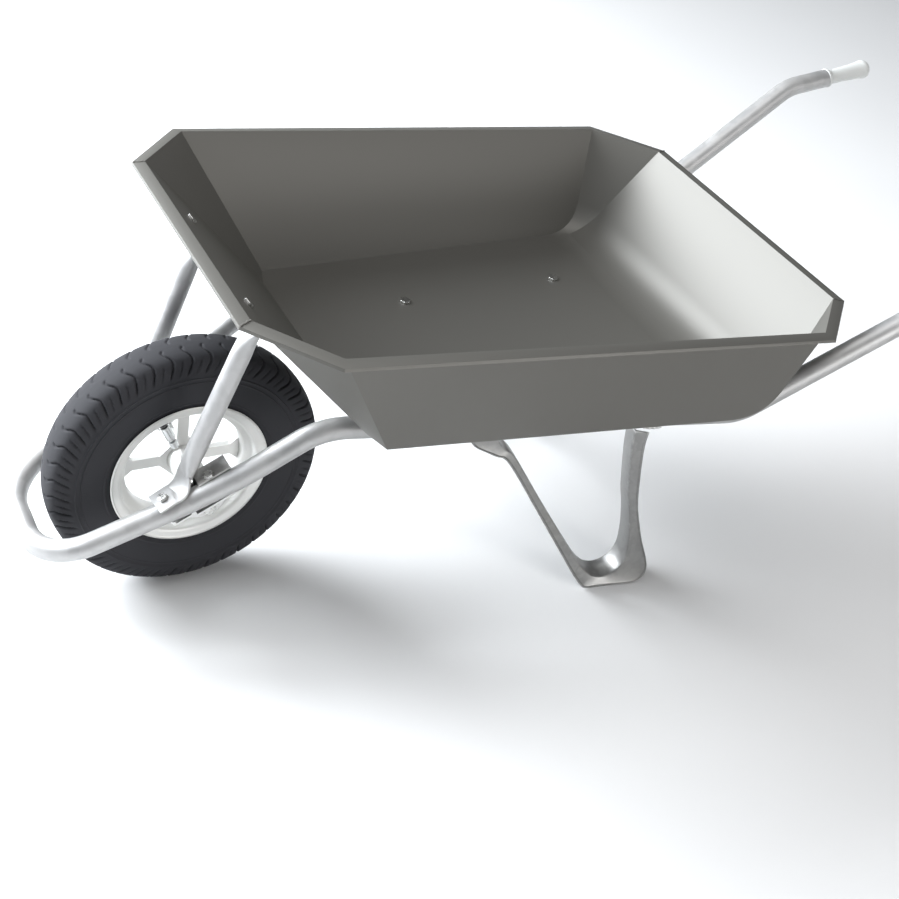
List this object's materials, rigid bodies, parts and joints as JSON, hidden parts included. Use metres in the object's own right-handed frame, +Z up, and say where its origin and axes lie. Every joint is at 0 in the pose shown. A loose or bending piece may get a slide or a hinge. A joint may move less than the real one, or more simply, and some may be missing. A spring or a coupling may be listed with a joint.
{
  "type": "wheelbarrow",
  "caption": "Builder's wheelbarrow: deep folded steel tray on a single bent frame tube, with pressed sheet legs, front stays, plastic grips and one pneumatic wheel on a fixed axle.",
  "frame": {"origin": "on the ground, under the middle of the overall box", "axes": "+X from the wheel towards the handles, +Y to the right hand of the user seen from behind with -Y nearest the left hand grip, +Z up"},
  "size_m": [1.6238, 0.6874, 0.5923],
  "materials": {
    "galvanised_tube": "bright galvanised",
    "pressed_steel": "galvanised sheet",
    "zinc_plate": "zinc plated",
    "tray_paint": "satin dark grey",
    "rim_paint": "satin silver",
    "grip_plastic": "satin light grey",
    "bearing_bronze": "plain bearing",
    "tyre_rubber": "black",
    "tube_rubber": "black",
    "valve_chrome": "bright"
  },
  "bodies": {
    "frame": {"frame_tube": "galvanised_tube", "stay_left": "galvanised_tube", "stay_right": "galvanised_tube", "grip_left": "grip_plastic", "grip_right": "grip_plastic", "tray": "tray_paint", "stay_strap": "pressed_steel", "axle_bracket_left": "pressed_steel", "axle_bracket_right": "pressed_steel", "leg_left": "pressed_steel", "leg_right": "pressed_steel", "cross_rail_front": "pressed_steel", "cross_rail_rear": "pressed_steel", "axle": "zinc_plate", "axle_nut_left": "zinc_plate", "axle_nut_right": "zinc_plate", "axle_spacer_left": "zinc_plate", "axle_spacer_right": "zinc_plate", "bracket_bolt_left": "zinc_plate", "bracket_nut_left": "zinc_plate", "stay_foot_bolt_left": "zinc_plate", "stay_foot_nut_left": "zinc_plate", "stay_top_bolt_left": "zinc_plate", "stay_top_nut_left": "zinc_plate", "floor_bolt_front_left": "zinc_plate", "floor_nut_front_left": "zinc_plate", "floor_bolt_rear_left": "zinc_plate", "floor_nut_rear_left": "zinc_plate", "bracket_bolt_right": "zinc_plate", "bracket_nut_right": "zinc_plate", "stay_foot_bolt_right": "zinc_plate", "stay_foot_nut_right": "zinc_plate", "stay_top_bolt_right": "zinc_plate", "stay_top_nut_right": "zinc_plate", "floor_bolt_front_right": "zinc_plate", "floor_nut_front_right": "zinc_plate", "floor_bolt_rear_right": "zinc_plate", "floor_nut_rear_right": "zinc_plate"},
    "wheel": {"hub_sleeve": "rim_paint", "rim": "rim_paint", "wheel_spider": "rim_paint", "bearing_left": "bearing_bronze", "bearing_right": "bearing_bronze", "tyre": "tyre_rubber", "inner_tube": "tube_rubber", "valve_grommet": "tube_rubber", "valve_cap": "valve_chrome", "valve_stem": "valve_chrome"}
  },
  "joints": [
    {"name": "wheel_spin", "type": "hinge", "parent": "frame", "child": "wheel", "pos_m": [-0.56728, 0, 0.2], "axis": [0, 1, 0], "continuous": true}
  ]
}
